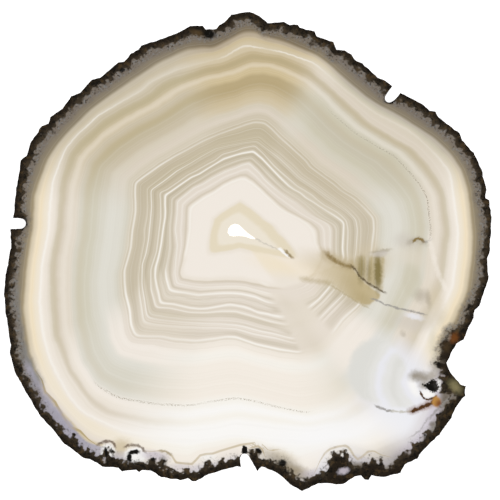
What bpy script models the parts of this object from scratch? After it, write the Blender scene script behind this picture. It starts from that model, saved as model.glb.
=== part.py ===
"""Agate slice: a flat, polished slab sawn across a nodule, with the nodule's rough skin left round its rim.

Metres, +Z up. The slice lies on its lower face at z = 0, centred on the Z axis by its outline's box.
"""

import math

import bmesh
import bpy
from mathutils import Matrix, Vector, noise

# Driving dimensions
THICKNESS = 0.006
GRID = 0.00031  # one square of the tracing grid, on which the outlines below are read
GRID_MIDDLE = (247.5, 251.5)  # the slice's middle on that grid, x to the right and y down

# The rim's skin
RIM_STEP = 0.00106  # distance from one rim point to the next
RIM_ROWS = 5  # rows of faces from the lower face to the upper one
TOOTH_DEPTH = 0.00030
TOOTH_SIZE = 0.0017
LUMP_DEPTH = 0.00085
LUMP_SIZE = 0.0062
PIT_DEPTH = 0.0011
PIT_SIZE = 0.0029
PIT_SHARE = 0.18  # noise above this is a pit
PIT_SHIFT = Vector((0, 0, 7))  # keeps the pits' noise apart from the lumps'
SKIN_SLOPE = 0.0007  # how far the skin draws in from the upper face down to the lower one
SKIN_SWELL = 0.00035  # how far it stands out at half height

# The three narrow notches in the rim: the centre of the round inner end and the middle of the mouth, both on
# the grid, then the width at each
NOTCHES = {
    "upper_right": ((389.9, 98.2), (396.7, 89.0), 0.0030, 0.0031),
    "left": ((20.8, 223.5), (11.5, 223.5), 0.0031, 0.0033),
    "lower": ((244.6, 458.4), (248.4, 469.5), 0.0029, 0.0043),
}
NOTCH_OVERRUN = 0.004  # how far a cutter runs on past the mouth
ROUND_STEPS = 8  # sides of a notch's round inner end

# The open hollow in the middle, a teardrop that runs out into a crack
HOLLOW = (
    (227.8, 232.5), (228.4, 228.8), (230.8, 225.6), (234.6, 224.0), (238.8, 225.0), (242.2, 228.0),
    (246.6, 232.2), (251.6, 235.8), (256.4, 239.2), (250.4, 238.4), (245.2, 236.4), (239.2, 235.8),
    (233.0, 236.2), (229.6, 235.4),
)
CUT_MARGIN = 0.001  # how far each cutter stands proud of the two faces
TINY = 0.000001  # points this near are one point
SHARP_ANGLE = 0.6  # edges that turn more than this, in radians, stay sharp in the shading

# The rim on the tracing grid, clockwise from the top
RIM = (
    (250, 11), (260, 15), (268, 22.5), (284, 21), (290, 24), (298, 24), (300, 27), (315, 31), (317, 36),
    (334, 41), (337, 49), (345, 50), (352, 54), (357, 61), (363, 63), (378, 77), (386, 80), (402, 93),
    (422, 103), (430, 110), (436, 111), (438, 116), (450, 125), (460, 133), (463, 140), (474, 152),
    (482, 169), (487, 190), (486, 198), (490, 200), (492, 217), (491, 250), (488, 258), (489, 280),
    (480, 306), (475, 310), (474, 318), (464, 340), (457, 344), (447, 363), (451, 372), (461, 384),
    (466, 386), (466, 396), (456, 408), (452, 418), (440, 435), (422, 452), (418, 459), (405, 465),
    (401, 473), (383, 478), (372, 476), (369, 481), (364, 480), (361, 476), (355, 477), (343, 485),
    (318, 484), (302, 492), (290, 485), (278, 474), (262, 467), (257, 472), (250, 469), (236, 467),
    (208, 475), (196, 482), (192, 482), (188, 479), (180, 480.5), (161, 478), (150, 471), (142, 471),
    (139, 473), (136, 470), (122, 472), (118, 469), (102, 467), (90, 460), (84, 459), (61, 442),
    (53, 430), (40, 417), (25, 392), (14, 372), (9, 352), (10, 345), (5, 312), (3.5, 292), (5, 275),
    (10, 248), (10, 230), (13, 216), (15, 195), (20, 160), (26, 155), (30, 142), (41, 126), (48, 123),
    (50, 117), (62, 108), (71, 96), (80, 92), (91, 79), (100, 77), (118, 62), (124, 61), (130, 53), (138, 49),
    (141, 45), (156, 40), (178, 32), (190, 25), (203, 25), (206, 29), (216, 28), (219, 24), (224, 22),
    (231, 14),
)


def clear_scene():
    for obj in list(bpy.data.objects):
        bpy.data.objects.remove(obj, do_unlink=True)


def new_collection(name):
    made = bpy.data.collections.new(name)
    bpy.context.scene.collection.children.link(made)
    return made


def on_stone(square):
    """A place on the tracing grid in metres, with y turned to run upwards."""
    return Vector((square[0] - GRID_MIDDLE[0], GRID_MIDDLE[1] - square[1])) * GRID


def walked(corners, step):
    """Evenly spaced points along the closed line through the corners."""
    points = []
    for start, end in zip(corners, corners[1:] + corners[:1]):
        count = max(1, round((end - start).length / step))
        points += [start.lerp(end, i / count) for i in range(count)]
    return points


def outward(points, i):
    """The direction out of a closed clockwise outline at point i, from its neighbours on both sides."""
    along = (points[(i + 2) % len(points)] - points[i - 2]).normalized()
    return Vector((-along.y, along.x))


def toothed(points):
    """The outline with small teeth, which only draw in, so that the traced line stays the outermost."""
    teeth = []
    for i, point in enumerate(points):
        grain = noise.noise(point.to_3d() / TOOTH_SIZE)
        teeth.append(point - outward(points, i) * TOOTH_DEPTH * (0.5 - grain))
    return teeth


def slab(name, points, bottom, top, where):
    """A closed mesh with this outline, made from a filled 2D curve, whose two caps are single faces."""
    curve = bpy.data.curves.new(name + "_outline", "CURVE")
    curve.dimensions = "2D"
    curve.fill_mode = "BOTH"
    curve.extrude = (top - bottom) / 2
    spline = curve.splines.new("POLY")
    spline.points.add(len(points) - 1)
    for spot, point in zip(spline.points, points):
        spot.co = (point.x, point.y, 0, 1)
    spline.use_cyclic_u = True
    flat = bpy.data.objects.new(name + "_outline", curve)
    where.objects.link(flat)
    bpy.context.view_layer.update()
    mesh = bpy.data.meshes.new_from_object(flat.evaluated_get(bpy.context.evaluated_depsgraph_get()))
    bpy.data.objects.remove(flat, do_unlink=True)
    mesh.transform(Matrix.Translation((0, 0, (top + bottom) / 2)))
    mesh.name = name
    solid = bmesh.new()
    solid.from_mesh(mesh)
    bmesh.ops.remove_doubles(solid, verts=solid.verts, dist=TINY)
    for side in (-1, 1):
        cap = [face for face in solid.faces if face.normal.z * side > 0.5]
        bmesh.ops.dissolve_faces(solid, faces=cap)
    bmesh.ops.recalc_face_normals(solid, faces=solid.faces)
    solid.to_mesh(mesh)
    solid.free()
    obj = bpy.data.objects.new(name, mesh)
    where.objects.link(obj)
    return obj


def skin_offset(place):
    """How far the skin stands out at this place: a swell at half height, less the slope, lumps and pits."""
    height = place.z / THICKNESS
    swell = SKIN_SWELL * 4 * height * (1 - height)
    lumps = LUMP_DEPTH * (0.5 - noise.noise(place / LUMP_SIZE))
    pits = PIT_DEPTH * max(0, noise.noise(place / PIT_SIZE + PIT_SHIFT) - PIT_SHARE)
    below = min(1, (1 - height) * RIM_ROWS)
    return swell - below * (lumps + pits) - (1 - height) * SKIN_SLOPE


def roughen_rim(obj):
    """Rows of faces up the rim, and then the lumps and pits of the nodule's skin on all but the upper edge."""
    stone = bmesh.new()
    stone.from_mesh(obj.data)
    upright = [edge for edge in stone.edges if abs(edge.verts[0].co.z - edge.verts[1].co.z) > THICKNESS / 2]
    bmesh.ops.subdivide_edges(stone, edges=upright, cuts=RIM_ROWS - 1)
    stone.normal_update()
    ways = [Vector((vert.normal.x, vert.normal.y, 0)).normalized() for vert in stone.verts]
    for vert, way in zip(stone.verts, ways):
        if vert.co.z < THICKNESS - TINY:
            vert.co += way * skin_offset(vert.co)
    bmesh.ops.triangulate(stone, faces=stone.faces)
    stone.to_mesh(obj.data)
    stone.free()


def notch_outline(inner, mouth, inner_width, mouth_width):
    """A narrow slot that widens a little from its half-round inner end out past its mouth."""
    end = on_stone(inner)
    run = on_stone(mouth) - end
    way = run.normalized()
    across = Vector((-way.y, way.x))
    spread = (mouth_width - inner_width) / run.length
    far = on_stone(mouth) + way * NOTCH_OVERRUN
    far_half = (mouth_width + spread * NOTCH_OVERRUN) / 2
    points = [far - across * far_half, far + across * far_half]
    for i in range(ROUND_STEPS + 1):
        turn = Matrix.Rotation(math.pi * i / ROUND_STEPS, 2)
        points.append(end + (turn @ across) * inner_width / 2)
    return points


def cut(stone, cutter):
    cutter.hide_render = True
    cutter.display_type = "WIRE"
    boolean = stone.modifiers.new(cutter.name, "BOOLEAN")
    boolean.operation = "DIFFERENCE"
    boolean.solver = "EXACT"
    boolean.object = cutter


def centre_on_origin(stone, others):
    """Moves every mesh alike, so that the stone's box is centred on the Z axis."""
    xs = [vert.co.x for vert in stone.data.vertices]
    ys = [vert.co.y for vert in stone.data.vertices]
    shift = Matrix.Translation((-(min(xs) + max(xs)) / 2, -(min(ys) + max(ys)) / 2, 0))
    for obj in [stone] + others:
        obj.data.transform(shift)


def agate_material():
    """Polished chalcedony in its overall colour, a warm cream."""
    made = bpy.data.materials.new("agate")
    made.use_nodes = True
    shader = made.node_tree.nodes["Principled BSDF"]
    shader.inputs["Base Color"].default_value = (0.78, 0.70, 0.58, 1)
    shader.inputs["Roughness"].default_value = 0.22
    shader.inputs["Metallic"].default_value = 0
    return made


def build():
    clear_scene()
    parts = new_collection("agate_slice")
    cutters = new_collection("agate_slice_cutters")
    cutters.hide_render = True

    rim = toothed(walked([on_stone(square) for square in RIM], RIM_STEP))
    stone = slab("agate_slice", rim, 0, THICKNESS, parts)
    roughen_rim(stone)

    reach = (-CUT_MARGIN, THICKNESS + CUT_MARGIN)
    tools = [slab("notch_" + name, notch_outline(*ends), *reach, cutters) for name, ends in NOTCHES.items()]
    tools.append(slab("hollow", [on_stone(square) for square in HOLLOW], *reach, cutters))
    centre_on_origin(stone, tools)
    for tool in tools:
        cut(stone, tool)

    stone.data.materials.append(agate_material())
    stone.data.shade_smooth()
    stone.data.set_sharp_from_angle(angle=SHARP_ANGLE)


build()
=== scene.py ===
import cmath
import math

import bpy
import numpy as np
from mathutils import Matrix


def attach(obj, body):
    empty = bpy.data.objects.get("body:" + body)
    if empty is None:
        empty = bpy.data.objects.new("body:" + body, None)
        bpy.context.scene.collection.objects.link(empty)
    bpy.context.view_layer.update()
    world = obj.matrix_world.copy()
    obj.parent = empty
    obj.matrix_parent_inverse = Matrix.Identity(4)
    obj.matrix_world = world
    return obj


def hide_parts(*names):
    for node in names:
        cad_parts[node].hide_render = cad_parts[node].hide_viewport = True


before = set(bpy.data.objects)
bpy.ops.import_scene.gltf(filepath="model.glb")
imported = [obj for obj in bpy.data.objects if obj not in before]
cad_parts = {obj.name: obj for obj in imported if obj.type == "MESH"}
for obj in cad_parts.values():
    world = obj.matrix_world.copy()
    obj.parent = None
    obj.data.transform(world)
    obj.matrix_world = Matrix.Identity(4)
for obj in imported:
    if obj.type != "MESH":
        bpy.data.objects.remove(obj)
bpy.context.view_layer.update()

# Lengths on the stone are in squares of the tracing grid, which the outlines in part.py use too. Its x runs to
# the right and its y runs down. In the arrays a place on the stone is one complex number, counted in squares
# from the pole, the point that the bands run round, with y turned to run upwards.
grid = {
    "square": 0.00031,
    "origin": (247.71, 251.57),  # the solid's origin on the grid
    "pole": (236, 230),
}


def place(x, y):
    # A place on the grid as such a number: its x less the pole's, and the pole's y less its own
    return complex(x - grid["pole"][0], grid["pole"][1] - y)


originPlace = place(*grid["origin"])


def fromMetres(points):
    # From metres: x + iy over the square's side, plus the origin's own place
    return (points[:, 0] + 1j * points[:, 1]) / grid["square"] + originPlace


def toMetres(places):
    # The other way round, as x and y
    flat = (places - originPlace) * grid["square"]
    return np.stack([flat.real, flat.imag], axis=-1)


# Each band edge: its level, which is its usual distance from the pole; its real distance at angles counted from
# the right, anticlockwise; and how brightly its fine line shows at angles, from 0 to 1.
innerShine = ((0, 0.8), (5, 0.7), (12, 0.35), (35, 0.5), (50, 0.95), (75, 1), (92, 0.9), (105, 0.85), (130, 0.9),
              (150, 1), (222, 0.95), (232, 0.7), (262, 0.9), (296, 1), (300, 0), (342, 0), (346, 0.8))
lineShine = innerShine[:-3] + ((300, 0), (312, 0), (315, 0.9), (329, 0.9), (331, 0), (342, 0), (346, 1))
outerShine = ((0, 0.8), (5, 0.7), (12, 0.25), (40, 0.4), (60, 0.5), (100, 0.35), (125, 0.55), (138, 0.95), (222, 1),
              (228, 0.4), (240, 0.4), (262, 0.6), (270, 0.9), (297, 1), (299, 0), (312, 0), (315, 0.9),
              (329, 0.9), (331, 0), (342, 0), (346, 0.8))
bands = {
    "greyZone": (204, (
        (0, 237), (10, 236), (15, 234), (20, 228), (25, 219), (30, 208), (35, 200), (40, 192), (45, 187),
        (55, 187), (60, 190), (65, 193), (75, 195), (80, 196), (85, 200), (88, 199), (90, 195), (95, 187),
        (97, 184), (100, 186), (105, 188), (115, 185), (125, 183), (130, 184), (140, 189), (150, 195),
        (155, 199), (160, 202), (170, 205), (180, 204), (185, 208), (190, 213), (200, 227), (210, 240),
        (220, 251), (235, 257), (240, 250), (245, 243), (255, 240), (258, 240), (260, 229), (265, 222),
        (270, 216), (275, 218), (280, 232), (285, 245), (290, 240), (297, 240), (302, 262), (310, 270),
        (318, 258), (325, 240), (328, 245), (331, 233), (335, 238), (345, 240), (355, 238)),
        ((0, 0),)),
    "brightEdge": (187, (
        (0, 222), (15, 222), (20, 215), (25, 207), (30, 200), (35, 190), (40, 182), (45, 179), (55, 178),
        (60, 181), (65, 184.5), (75, 184), (80, 183.5), (87, 185), (90, 180.5), (93, 174), (97, 172),
        (110, 171), (120, 171), (124, 168.5), (130, 171), (140, 179), (150, 186), (155, 189), (165, 189.5),
        (175, 187.5), (180, 187), (190, 197), (200, 209), (208, 219), (215, 227), (225, 236), (230, 238),
        (240, 231), (250, 221), (260, 213), (270, 204), (280, 212), (290, 224), (300, 236), (310, 238),
        (320, 228), (330, 219), (345, 224), (355, 222)),
        ((0, 0.9), (12, 0.7), (22, 0.25), (60, 0.2), (68, 0.85), (76, 0.85), (80, 0.35), (84, 0.8), (92, 0.6),
         (97, 0.15), (120, 0.2), (133, 0.4), (142, 0.8), (150, 0.6), (165, 0.9), (190, 0.95), (225, 0.7), (250, 0.6),
         (262, 0), (340, 0), (348, 0.8))),
    "tanLine": (180, (
        (0, 215), (5, 213), (10, 213), (15, 209), (20, 203), (25, 196), (30, 185), (35, 177), (40, 172),
        (45, 171), (55, 172), (65, 177), (75, 179), (85, 178.5), (88, 175), (90, 171.5), (95, 166.5),
        (100, 166), (115, 167), (120, 164.5), (123, 162.5), (130, 166), (140, 174), (150, 181), (155, 185),
        (165, 183), (175, 180), (180, 180.5), (190, 190), (200, 199), (210, 212), (220, 222), (230, 229),
        (235, 228), (245, 217), (255, 206), (262, 199), (270, 191), (280, 198), (290, 212), (300, 222),
        (310, 224), (320, 217), (330, 211), (345, 215), (355, 213)),
        ((0, 0),)),
    "dotted": (160, (
        (0, 195), (10, 194), (15, 188), (20, 181), (25, 175), (30, 165), (36, 157), (40, 153), (45, 151.5),
        (50, 151), (55, 154), (65, 160), (75, 163), (80, 163), (85, 160), (90, 153), (100, 150), (110, 147),
        (120, 143), (125, 143), (135, 149), (145, 157), (155, 164), (165, 163), (175, 160), (180, 160),
        (190, 168), (200, 177), (210, 190), (220, 203), (228, 209), (235, 205), (245, 192), (255, 182),
        (263, 172), (270, 168), (276, 172), (284, 183), (291, 196), (300, 202), (310, 200), (320, 194),
        (330, 190), (345, 196)),
        ((0, 0.8), (50, 0.3), (54, 0), (226, 0), (230, 0.7), (254, 0.6), (260, 0.3), (268, 0.6), (290, 0.6),
         (293, 0), (356, 0), (358, 0.8))),
    "outerFine": (103.5, (
        (0, 138), (5, 138), (10, 130), (15, 122), (20, 113), (25, 108), (30, 103.5), (35, 100), (40, 97.5),
        (45, 98.5), (55, 99), (65, 103), (70, 107), (75, 111), (80, 110), (85, 106), (90, 102), (100, 97.5),
        (110, 95), (120, 94), (130, 96), (140, 100), (150, 106.5), (155, 111), (160, 107.5), (165, 104),
        (170, 102), (180, 103.5), (190, 107), (195, 112), (200, 119), (205, 123), (210, 127.5), (217, 133),
        (222, 141.5), (226.5, 146), (230, 139), (235, 130), (240, 126), (250, 118), (260, 110), (265, 107),
        (270, 107), (280, 116), (290, 127), (297, 137), (305, 143), (313, 141), (320, 139), (329, 144),
        (340, 139), (350, 137)),
        outerShine),
    "firstPair": (92, (
        (0, 125), (5, 124), (10, 117), (20, 102), (30, 93), (40, 87), (50, 87), (60, 88.5), (70, 92),
        (76, 96.5), (85, 91), (90, 89), (100, 87.5), (115, 85), (125, 84.5), (135, 88), (145, 91.4),
        (155, 98.2), (165, 91.4), (172, 90), (180, 91.8), (186, 92), (195, 98), (205, 107.5), (213, 115.4),
        (220, 123), (225, 130.7), (230, 124), (240, 112), (250, 104), (260, 99.5), (270, 99), (280, 106),
        (290, 115), (298, 129), (310, 127), (320, 126.5), (329, 129.5), (345, 127), (350, 125.7)),
        outerShine),
    "secondPair": (87.5, (
        (0, 121.5), (5, 120.5), (10, 112.5), (20, 97), (30, 88), (40, 82), (50, 82), (60, 84), (70, 87),
        (77, 91), (85, 87.5), (90, 85.7), (104, 84), (115, 81.4), (125, 81), (135, 83.6), (145, 86.8),
        (150, 90), (155, 94), (165, 87.5), (175, 86.2), (186, 88), (195, 93.5), (200, 100), (210, 108.6),
        (217.6, 115), (222.4, 121.4), (224.7, 124), (230, 117), (240, 106), (250, 99), (260, 95), (270, 95),
        (275, 96.8), (284, 104.3), (290, 110), (296, 120), (298.5, 124), (310, 122.5), (320, 122),
        (329, 125.5), (345, 122.5), (350, 122)),
        outerShine),
    "soft": (77, (
        (0, 112), (5, 110.5), (10, 103), (15, 92.5), (20, 87), (25, 83.5), (30, 79), (35, 75.5), (40, 74.3),
        (50, 73.2), (60, 74.8), (70, 81), (77.5, 86.6), (85, 82.5), (90, 79.4), (100, 77), (107, 72.5),
        (115, 71.4), (125, 71.4), (131, 73), (140, 75), (150, 80), (153.8, 85), (158, 81.4), (165, 78),
        (170, 76.4), (180, 76.7), (195, 82), (205, 94), (215, 104), (220, 107.5), (224, 111.4), (230, 102),
        (240, 95), (250, 88), (260, 82.5), (270, 81.5), (280, 87), (290, 97), (298, 107), (310, 112),
        (320, 113), (329, 115), (345, 116), (350, 113)),
        lineShine),
    "brightest": (72.5, (
        (0, 107.5), (4, 108.5), (6, 104.3), (7.6, 101.4), (10, 96), (15, 88), (20, 82), (25, 76.5),
        (30, 74.3), (35, 70.5), (40, 68.6), (50, 68.5), (60, 71), (70, 76), (77.6, 80.3), (85, 77), (90, 75),
        (100, 72), (107, 69.3), (115, 67.5), (123, 66.8), (130, 69), (140, 71.4), (150, 76), (153.8, 78.8),
        (160, 75.5), (165, 73), (170, 71.9), (180, 73), (190, 76), (195, 79), (200, 83), (205, 89),
        (210, 93.6), (215, 97), (220, 100.7), (224, 105.4), (230, 97), (235, 93.5), (240, 90.5), (245, 87.3),
        (250, 84), (255, 80), (260, 77), (265, 75.1), (270, 75.5), (275, 77), (280, 80), (285, 85.7), (290, 89.3),
        (293.5, 93.6), (298, 98.6), (310, 106), (320, 108), (329, 109.5), (345, 111.4), (350, 108)),
        lineShine),
    "third": (66.5, (
        (0, 100.7), (3, 99), (8, 86), (12, 81), (20, 75), (30, 68), (40, 63), (50, 62.5), (60, 64.5),
        (70, 69), (78, 74), (85, 71), (90, 69), (100, 65.5), (107, 64), (115, 62.9), (125, 62.5), (135, 64.3),
        (145, 67), (154, 71.4), (165, 67), (175, 66.4), (195, 68.6), (200, 71.4), (205, 75.7), (210, 81.4),
        (215, 85), (222, 89.3), (226, 85.7), (230, 81.4), (240, 75), (245, 70.7), (255, 65.4), (260, 64),
        (267, 63.2), (275, 64), (280, 66), (286, 69.3), (293, 78), (297, 82), (310, 95), (320, 102),
        (329, 104), (345, 104.5), (350, 102)),
        innerShine),
    "fourth": (60, (
        (0, 94.3), (3, 93), (5, 89), (7, 84.5), (10, 78), (15, 72), (20, 68), (25, 65), (30, 61.5),
        (40, 57.5), (50, 56.5), (60, 57.7), (65, 60), (70, 62.5), (79, 68), (85, 65), (90, 62), (100, 59.5),
        (115, 56.8), (125, 56.4), (135, 59.3), (145, 61.4), (154, 65), (165, 61), (180, 60.7), (195, 60.5),
        (205, 66), (215, 75), (222, 80), (230, 73.5), (240, 67), (250, 61), (260, 57.5), (270, 56.5),
        (280, 58.5), (290, 65), (299, 73), (310, 86), (320, 94), (329, 97.5), (345, 98), (350, 95.5)),
        innerShine),
    "polygon": (47, (
        (0, 78), (5, 72), (10, 65), (15, 58), (20, 53), (25, 50), (30, 48), (40, 46.5), (50, 46), (60, 47.5),
        (70, 50), (80, 52.5), (85, 52), (95, 49), (105, 46.5), (120, 44), (135, 46), (150, 50), (155, 51),
        (165, 48.5), (180, 47), (190, 49), (200, 53), (205, 56.5), (210, 60), (215, 66), (218, 70), (222, 71),
        (225, 68), (230, 64.5), (240, 58), (250, 52.5), (260, 50), (270, 49.5), (280, 51), (286, 53.6),
        (293, 57), (299, 63.5), (310, 74), (320, 82), (330, 87), (340, 89), (345, 88), (350, 81.5), (355, 80),
        (358, 79)),
        ((0, 0.6), (60, 0.8), (200, 0.9), (215, 0.4), (240, 0.5), (296, 0.7), (302, 0.1), (340, 0.1), (346, 0.5))),
    "heart": (24, (
        (0, 40), (5, 38), (10, 35.5), (15, 32), (20, 30), (30, 28), (42, 26.5), (60, 26), (75, 27.5), (82, 28.5),
        (90, 26), (100, 24), (120, 22), (135, 22.5), (153, 24.6), (165, 24), (180, 25), (200, 28.5), (215, 33),
        (221, 34), (228, 31), (240, 25), (255, 21), (270, 19), (282, 18.5), (295, 21), (305, 25), (315, 31),
        (320, 35), (326, 45), (331, 58), (335, 66), (338, 65), (342, 60), (348, 52), (354, 45)),
        ((0, 0),)),
}
hollowLevel = 8  # the level given to the hollow's edge
bandSoftening = 1.0  # degrees over which the outlines' corners are rounded
tableSteps = 1440  # directions at which the outlines are worked out


def upperOutlines(node):
    # The outlines of a solid's flat top, the longest first: the edges that only one upward triangle has, walked
    # end to end, so the outer one runs anticlockwise
    mesh = node.data
    mesh.calc_loop_triangles()
    points = np.empty(len(mesh.vertices) * 3)
    mesh.vertices.foreach_get("co", points)
    corners = np.empty(len(mesh.loop_triangles) * 3, int)
    mesh.loop_triangles.foreach_get("vertices", corners)
    spots, joined = np.unique(np.round(points.reshape(-1, 3), 6), axis=0, return_inverse=True)
    triangles = joined.reshape(-1)[corners.reshape(-1, 3)]
    flat = triangles[(spots[triangles][:, :, 2] >= spots[:, 2].max()).all(1)]
    edges = np.concatenate([flat[:, [0, 1]], flat[:, [1, 2]], flat[:, [2, 0]]])
    lone = edges[~np.isin(edges @ (len(spots), 1), edges @ (1, len(spots)))]
    following = dict(lone.tolist())
    outlines = []
    while following:
        start, spot = following.popitem()
        walk = [start]
        while spot != start:
            walk.append(spot)
            spot = following.pop(spot)
        outlines.append(fromMetres(spots[walk]))
    return sorted(outlines, key=len, reverse=True)


def softened(values, reach):
    # A closed run of values averaged with its neighbours: its Fourier terms, each times a Gaussian of its order
    order = np.fft.fftfreq(len(values), 1 / len(values))
    return np.fft.ifft(np.fft.fft(values) * np.exp(-0.5 * (2 * np.pi * order * reach / len(values)) ** 2))


def straightBetween(turns, corners):
    # Distance from the pole at each angle of a closed outline with straight sides: between corners at angles a
    # and b with distances p and q, it is p q sin(b - a) over (p sin(t - a) + q sin(b - t))
    angles, radii = np.array(corners, float).T
    angles = np.radians(np.append(angles, angles[0] + 360))
    radii = np.append(radii, radii[0])
    turns = (turns - angles[0]) % (2 * np.pi) + angles[0]
    k = np.clip(np.searchsorted(angles, turns, side="right") - 1, 0, len(angles) - 2)
    a, b, p, q = angles[k], angles[k + 1], radii[k], radii[k + 1]
    return p * q * np.sin(b - a) / (p * np.sin(turns - a) + q * np.sin(b - turns))


rimOutline, hollowOutline = upperOutlines(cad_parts["agate_slice"])
hollowAngles = np.degrees(np.angle(hollowOutline)) % 360
hollowCorners = sorted(zip(hollowAngles.tolist(), np.abs(hollowOutline).tolist()))
tableTurns = np.arange(tableSteps) * 2 * np.pi / tableSteps
softSteps = bandSoftening * tableSteps / 360
bandLevels = np.array([level for level, radii, shine in bands.values()] + [hollowLevel], float)
bandTables = [softened(straightBetween(tableTurns, radii), softSteps).real for level, radii, shine in bands.values()]
bandTables.append(softened(straightBetween(tableTurns, hollowCorners), softSteps).real)
shineTables = [np.interp(np.degrees(tableTurns), *np.array(shine, float).T, period=360)
               for level, radii, shine in bands.values()]
shineTables.append(np.zeros(tableSteps))


def atTurn(table, turns):
    # A closed table's value in each direction, in a straight line from one step to the next
    return np.interp(turns % (2 * np.pi), tableTurns, table, period=2 * np.pi)


def reachAt(level, turns):
    # Distance from the pole at which a band level lies in each direction, straight between the two band edges
    k = max(1, int(np.searchsorted(-bandLevels, -level)))
    share = (bandLevels[k - 1] - level) / (bandLevels[k - 1] - bandLevels[k])
    return atTurn(bandTables[k - 1] + share * (bandTables[k] - bandTables[k - 1]), turns)


def rowAt(level, turns):
    # The places at a band level in each direction t: its distance there, times e^(it)
    return reachAt(level, turns) * np.exp(1j * turns)


def levelAt(places):
    # The other way round: the band level at each place, and how brightly fine lines show there. Beyond the
    # outermost edge it rises by one for each square
    turns, reach = np.angle(places), np.abs(places)
    level = bandLevels[0] + reach - atTurn(bandTables[0], turns)
    shine = np.zeros_like(level)
    for k in range(1, len(bandLevels)):
        outer, inner = atTurn(bandTables[k - 1], turns), atTurn(bandTables[k], turns)
        share = np.clip((outer - reach) / (outer - inner), 0, 1)
        outerShine, innerShine = atTurn(shineTables[k - 1], turns), atTurn(shineTables[k], turns)
        level = np.where(reach <= outer, bandLevels[k - 1] + share * (bandLevels[k] - bandLevels[k - 1]), level)
        shine = np.where(reach <= outer, outerShine + share * (innerShine - outerShine), shine)
    return level, shine


print("bands: outlines ready")

# The slab. Its lengths are in metres where no squares or steps are named
slab = {
    "thickness": 0.006,
    "step": 1.65,  # squares between points along the rim
    "calm": 20,  # steps over which the rim is smoothed for the row that carries the bands
    "outwardBlur": 1.5,  # steps over which it is smoothed for its outward direction
    "notchDepth": 5,  # squares in from the smoothed rim at which it is fully a notch
    "skinShare": 0.6,  # how clear of a notch the rim has to be, from 0 to 1, to carry rind
    "rimReach": 45,  # squares from the rim, and rim points to each side, within which rind is looked for
    "ringLevel": 198,  # outermost row that follows the bands
    "rowsFromHollow": (3, 5, 3, 2, 2, 1, 2, 1, 3, 9, 4, 2, 2),  # rows from each band edge out to the next
    "rimRows": 14,  # rows from there out to the rim
    "rimCrowding": 1.5,  # over 1 crowds them towards the rim
    "rimLastShare": 0.86,  # how far out the last of them lies
    "easing": 20,  # rounds in which the rows near the rim are evened out
    "edgeRound": 0.45,  # squares of rounding at the upper edge
    "edgeDrop": 0.00014,  # how far the edge lies below the face
    "wallHeights": (0.93, 0.84, 0.72, 0.58, 0.42, 0.27, 0.13, 0.04),  # shares of the thickness
    "footStep": 0.5,  # squares from the wall's foot in to the first row under the slab
    "footShares": (0, 0.12, 0.28, 0.5, 0.75),  # how far in from there to the outermost band row the rows lie
    "undersideLevels": (198, 187, 180, 160, 140, 120, 103.5, 90, 77, 66.5, 60, 47, 24, 8),  # band rows further in
    "undersideEased": 7,  # rows under the slab, from the foot in, that are evened out
    "undersideRind": 6,  # rows under the slab that can carry rind
    "hollowHeights": (0.02, 0.5, 0.98),  # shares of the thickness
    "toothDepth": 0.35,  # squares; teeth only draw in, so the traced outline stays the outermost
    "toothSize": 0.0006,
    "skinSlope": 0.0007,  # how far the skin draws in from the upper face down to the lower one
    "skinSwell": 0.0003,  # how far it stands out at half height
    "lipShare": 0.25,  # share of the thickness below the upper edge over which it grows rough
    "lumpDepth": 0.0011,  # lumps, pits and crumbs all cut in
    "lumpSize": 0.0052,
    "pitDepth": 0.0016,
    "pitSize": 0.0021,
    "pitShare": 0.55,  # noise above this is a pit
    "crumbDepth": 0.0004,
    "crumbSize": 0.0008,
    "rindWidths": ((0, 6), (20, 7.5), (60, 7.5), (90, 8.5), (130, 8), (180, 8), (206, 7), (225, 8), (262, 9),
                   (300, 10), (340, 8), (351, 6)),  # angle, then squares in from the rim
    "rindSink": 0.00016,  # how far the soft rind wears down below the polished face
    "sinkRun": 4,  # squares into the rind over which it wears down
    "sinkStart": 1.2,  # how many such runs from its inner edge that begins
    "sharpAngle": 0.7,  # edges that turn more than this, in radians, stay sharp in the shading
}
noiseCells = 32  # random numbers along each side of the block that the noise repeats


def stepsAlong(outline, step):
    # Points along a closed outline: each side is cut into equal parts of about this length
    side = np.roll(outline, -1) - outline
    counts = np.maximum(1, np.round(np.abs(side) / step)).astype(int)
    first = np.repeat(np.cumsum(counts) - counts, counts)
    share = (np.arange(counts.sum()) - first) / np.repeat(counts, counts)
    return np.repeat(outline, counts) + share * np.repeat(side, counts)


def lumpy(points, size, seed):
    # Smooth noise from 0 to 1: random numbers at the corners of cubes of this size, blended with 3t^2 - 2t^3
    # along each side
    spots = points / size
    base = np.floor(spots).astype(int)
    t = spots - base
    t = t * t * (3 - 2 * t)
    numbers = np.random.default_rng(seed).random((noiseCells,) * 3)
    total = np.zeros(points.shape[:-1])
    for corner in np.ndindex(2, 2, 2):
        i = (base + corner) % noiseCells
        total += numbers[i[..., 0], i[..., 1], i[..., 2]] * np.prod(np.where(corner, t, 1 - t), axis=-1)
    return total


def withHeight(places, height):
    # The places in metres, with the height as their z
    flat = toMetres(places)
    return np.concatenate([flat, np.broadcast_to(height, places.shape)[..., None]], axis=-1)


def rimDistance(rows, rim, skinned, reach):
    # Distance from each point of the rows to the nearest rim point that has skin, and reach at the most. It looks
    # only that many points to each side, because the rows and the rim run alongside each other
    nearest = np.full(rows.shape, float(reach))
    for shift in range(-reach, reach + 1):
        away = np.abs(rows - np.roll(rim, shift)) + reach * ~np.roll(skinned, shift)
        nearest = np.minimum(nearest, away)
    return nearest


def eased(rows, rounds):
    # Each inner point moved to the middle of its four neighbours, over and over; the first and last rows stay
    rows = rows.copy()
    for i in range(rounds):
        inner = rows[1:-1]
        rows[1:-1] = (rows[:-2] + rows[2:] + np.roll(inner, 1, axis=1) + np.roll(inner, -1, axis=1)) / 4
    return rows


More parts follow.
